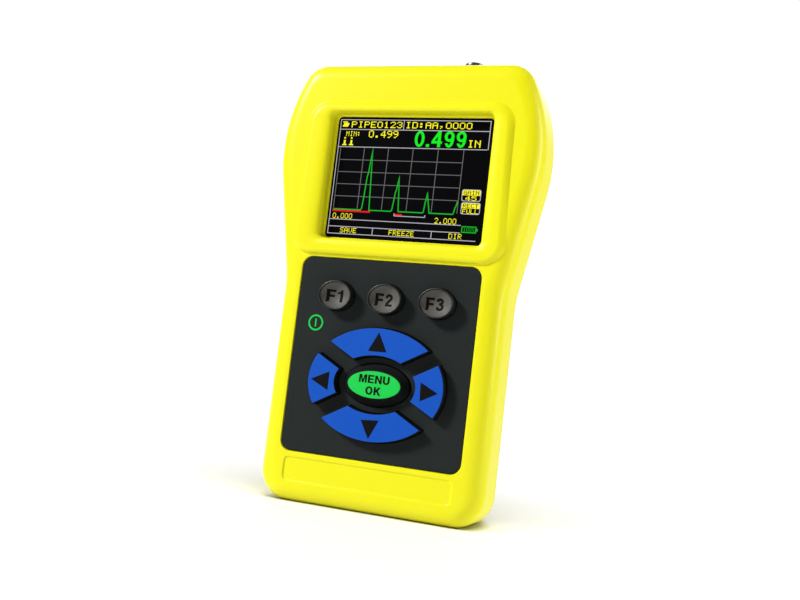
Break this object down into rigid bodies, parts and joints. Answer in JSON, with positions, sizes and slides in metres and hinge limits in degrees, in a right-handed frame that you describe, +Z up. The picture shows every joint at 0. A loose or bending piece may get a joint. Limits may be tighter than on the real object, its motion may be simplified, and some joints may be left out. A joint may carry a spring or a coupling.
{
  "type": "ultrasonic thickness gauge",
  "caption": "Hand-held yellow ultrasonic thickness gauge with a wide head, colour display, rubber keypad with travelling keys and a probe socket on its top edge.",
  "frame": {"origin": "on the base, under the middle of the whole width and depth", "axes": "+Z up along the case, front with the display and keys towards -Y, +X to the right as seen from the front"},
  "size_m": [0.102, 0.0396, 0.1667],
  "materials": {
    "case_yellow": "satin moulded plastic",
    "seal_rubber": "soft black rubber",
    "window": "polished window over a lit display",
    "display": "display module",
    "ribbon": "flexible strip",
    "panel_rubber": "matt charcoal rubber",
    "key_grey": "matt grey rubber",
    "key_blue": "blue printed tops on black rubber",
    "key_green": "green printed top on black rubber",
    "board": "green solder mask",
    "plated_steel": "tin plated",
    "black_plastic": "black plastic",
    "socket_metal": "satin plated metal",
    "insulator": "white insulator",
    "contact_brass": "gold plated",
    "cell": "plain sleeve",
    "screw_steel": "zinc plated"
  },
  "bodies": {
    "case": {"front_case": "case_yellow", "rear_case": "case_yellow", "battery_door": "case_yellow", "case_seal": "seal_rubber", "window_gasket": "seal_rubber", "socket_seal": "seal_rubber", "door_seal": "seal_rubber", "display_window": "window", "lcd_module": "display", "lcd_ribbon": "ribbon", "keypad_panel": "panel_rubber", "main_board": "board", "screening_can": "plated_steel", "sounder": "black_plastic", "probe_socket": "socket_metal", "socket_nut": "socket_metal", "socket_insulator": "insulator", "socket_contact": "contact_brass", "probe_lead": "black_plastic", "battery_1": "cell", "battery_2": "cell", "battery_3": "cell", "contact_plates": "plated_steel", "contact_springs": "plated_steel", "case_screws": "screw_steel", "board_screws": "screw_steel", "door_screws": "screw_steel"},
    "key_f1": {"key_f1": "key_grey"},
    "key_f2": {"key_f2": "key_grey"},
    "key_f3": {"key_f3": "key_grey"},
    "key_up": {"key_up": "key_blue"},
    "key_down": {"key_down": "key_blue"},
    "key_left": {"key_left": "key_blue"},
    "key_right": {"key_right": "key_blue"},
    "key_menu": {"key_menu": "key_green"}
  },
  "joints": [
    {"name": "key_f1_press", "type": "slide", "parent": "case", "child": "key_f1", "axis": [0, 1, 0], "range_m": [0, 0.0012], "stiffness_N_per_m": 900, "springref_m": -0.0004},
    {"name": "key_f2_press", "type": "slide", "parent": "case", "child": "key_f2", "axis": [0, 1, 0], "range_m": [0, 0.0012], "stiffness_N_per_m": 900, "springref_m": -0.0004},
    {"name": "key_f3_press", "type": "slide", "parent": "case", "child": "key_f3", "axis": [0, 1, 0], "range_m": [0, 0.0012], "stiffness_N_per_m": 900, "springref_m": -0.0004},
    {"name": "key_up_press", "type": "slide", "parent": "case", "child": "key_up", "axis": [0, 1, 0], "range_m": [0, 0.0012], "stiffness_N_per_m": 900, "springref_m": -0.0004},
    {"name": "key_down_press", "type": "slide", "parent": "case", "child": "key_down", "axis": [0, 1, 0], "range_m": [0, 0.0012], "stiffness_N_per_m": 900, "springref_m": -0.0004},
    {"name": "key_left_press", "type": "slide", "parent": "case", "child": "key_left", "axis": [0, 1, 0], "range_m": [0, 0.0012], "stiffness_N_per_m": 900, "springref_m": -0.0004},
    {"name": "key_right_press", "type": "slide", "parent": "case", "child": "key_right", "axis": [0, 1, 0], "range_m": [0, 0.0012], "stiffness_N_per_m": 900, "springref_m": -0.0004},
    {"name": "key_menu_press", "type": "slide", "parent": "case", "child": "key_menu", "axis": [0, 1, 0], "range_m": [0, 0.0012], "stiffness_N_per_m": 900, "springref_m": -0.0004}
  ]
}
